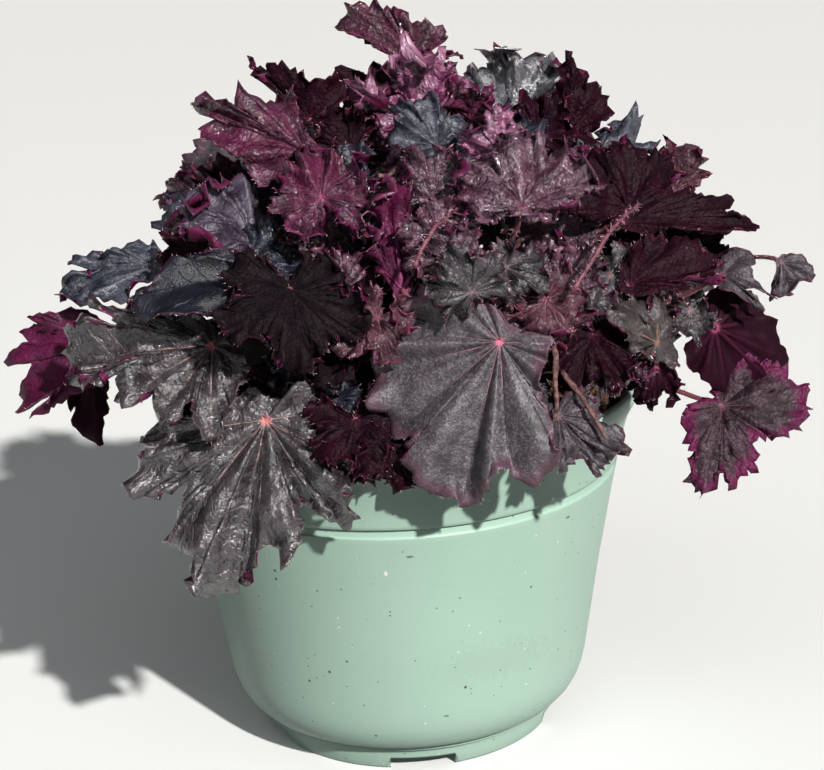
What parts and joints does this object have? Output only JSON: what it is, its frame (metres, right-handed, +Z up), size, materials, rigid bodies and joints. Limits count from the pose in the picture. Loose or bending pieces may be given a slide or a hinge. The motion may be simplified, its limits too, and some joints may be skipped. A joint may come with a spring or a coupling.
{
  "type": "potted heuchera plant",
  "caption": "Heuchera with lobed and ruffled dark purple leaves on long stalks, growing in a pale green round nursery pot.",
  "frame": {"origin": "middle of the bounding box, on the surface the pot stands on", "axes": "+Z up along the pot's axis, -Y towards the front of the plant, +X to its right"},
  "size_m": [0.3152, 0.235, 0.2949],
  "materials": {
    "crown_wood": "matte",
    "leaf_grey": "satin",
    "leaf_magenta": "satin",
    "leaf_maroon": "satin",
    "leaf_mauve": "satin",
    "leaf_navy": "satin",
    "leaf_olive": "satin",
    "leaf_pink": "satin",
    "leaf_plum": "satin",
    "leaf_plumback": "satin",
    "leaf_silver": "satin",
    "leaf_slate": "gloss",
    "pot_plastic": "matte",
    "soil_mix": "matte"
  },
  "bodies": {
    "root": {"crown": "crown_wood", "leaf_back_01": "leaf_grey", "leaf_back_02": "leaf_maroon", "leaf_back_03": "leaf_navy", "leaf_back_04": "leaf_plum", "leaf_back_05": "leaf_grey", "leaf_back_06": "leaf_maroon", "leaf_back_07": "leaf_navy", "leaf_back_08": "leaf_plum", "leaf_back_09": "leaf_grey", "leaf_front_left": "leaf_slate", "leaf_front_low_right": "leaf_plum", "leaf_front_pinkish": "leaf_pink", "leaf_front_round": "leaf_plum", "leaf_left_blue": "leaf_navy", "leaf_left_curled": "leaf_navy", "leaf_left_fringed": "leaf_maroon", "leaf_left_hanging": "leaf_maroon", "leaf_left_magenta": "leaf_magenta", "leaf_left_navy": "leaf_navy", "leaf_left_ruffled": "leaf_grey", "leaf_left_shaded": "leaf_navy", "leaf_left_small_dark": "leaf_maroon", "leaf_left_small_red": "leaf_magenta", "leaf_left_upper": "leaf_slate", "leaf_low_shaded": "leaf_maroon", "leaf_middle_folded": "leaf_mauve", "leaf_middle_grey": "leaf_grey", "leaf_middle_mauve": "leaf_mauve", "leaf_middle_navy": "leaf_navy", "leaf_middle_small": "leaf_pink", "leaf_middle_toothed": "leaf_slate", "leaf_middle_upright": "leaf_magenta", "leaf_right_curled": "leaf_grey", "leaf_right_fold": "leaf_grey", "leaf_right_grey": "leaf_grey", "leaf_right_lobe": "leaf_grey", "leaf_right_low": "leaf_mauve", "leaf_right_olive": "leaf_olive", "leaf_right_pointed": "leaf_maroon", "leaf_right_round": "leaf_plumback", "leaf_right_shaded": "leaf_maroon", "leaf_right_under": "leaf_maroon", "leaf_top": "leaf_maroon", "leaf_top_blue": "leaf_navy", "leaf_top_bright": "leaf_magenta", "leaf_top_bright_right": "leaf_magenta", "leaf_top_crimson": "leaf_magenta", "leaf_top_grey": "leaf_navy", "leaf_top_left": "leaf_maroon", "leaf_top_silver": "leaf_silver", "leaf_upper_left": "leaf_magenta", "leaf_upper_left_back": "leaf_maroon", "leaf_upper_left_low": "leaf_magenta", "leaf_upper_right": "leaf_maroon", "leaf_upper_right_dark": "leaf_maroon", "leaf_upper_right_grey": "leaf_grey", "leaf_upper_right_pink": "leaf_pink", "pot": "pot_plastic", "soil": "soil_mix"}
  },
  "joints": []
}
